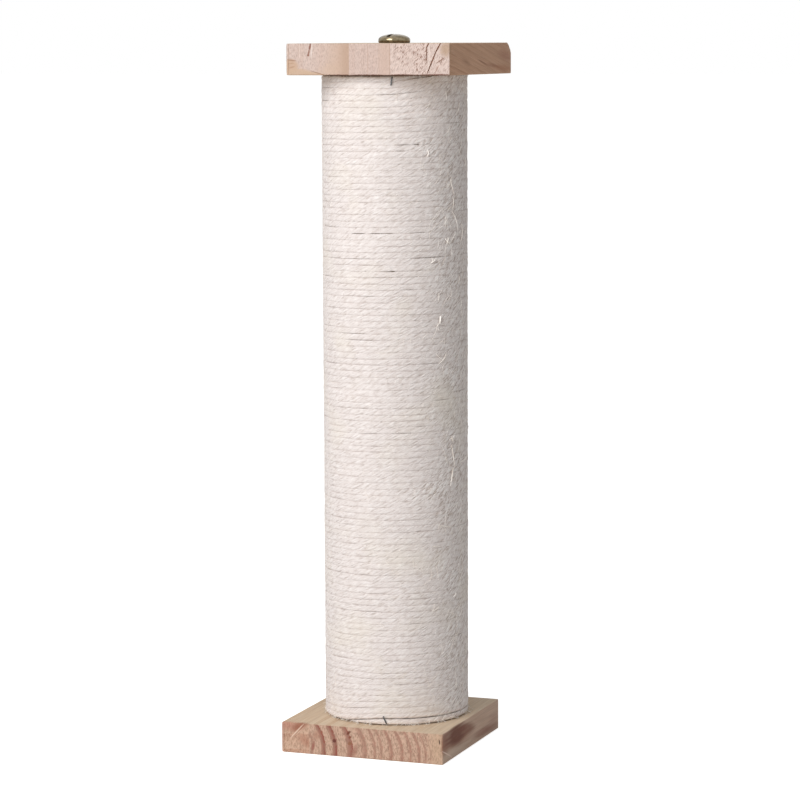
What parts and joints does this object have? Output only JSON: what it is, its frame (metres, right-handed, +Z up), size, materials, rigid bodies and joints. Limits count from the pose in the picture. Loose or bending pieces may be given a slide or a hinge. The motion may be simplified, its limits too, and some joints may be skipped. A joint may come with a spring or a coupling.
{
  "type": "cat scratching post",
  "caption": "Free-standing scratching post: a rope-wound tube between two square wooden plates, each held by a domed bolt through its middle.",
  "frame": {"origin": "on the post's axis, at the level of the surface that the base plate stands on", "axes": "+Z up along the post; the plates' end grain faces -Y and +Y, and their glued strips lie side by side along X"},
  "size_m": [0.1073, 0.1046, 0.4162],
  "materials": {
    "pine": "sawn and sanded, unfinished",
    "plug_wood": "sawn, unfinished",
    "core_board": "spiral-wound grey-brown board, matt",
    "sisal": "bleached twisted rope, fibrous with a slight lustre",
    "zinc_yellow": "yellow-passivated zinc on steel, dulled",
    "zinc_plate": "zinc-plated steel",
    "staple_wire": "drawn wire, dark grey"
  },
  "bodies": {
    "root": {"base_stave_narrow": "pine", "base_stave_wide": "pine", "top_stave_left": "pine", "top_stave_middle": "pine", "top_stave_right": "pine", "lower_plug": "plug_wood", "upper_plug": "plug_wood", "core_tube": "core_board", "sisal_rope": "sisal", "bolts": "zinc_yellow", "t_nuts": "zinc_plate", "lower_plug_staples": "staple_wire", "upper_plug_staples": "staple_wire", "lower_rope_staple": "staple_wire", "upper_rope_staple": "staple_wire"}
  },
  "joints": []
}
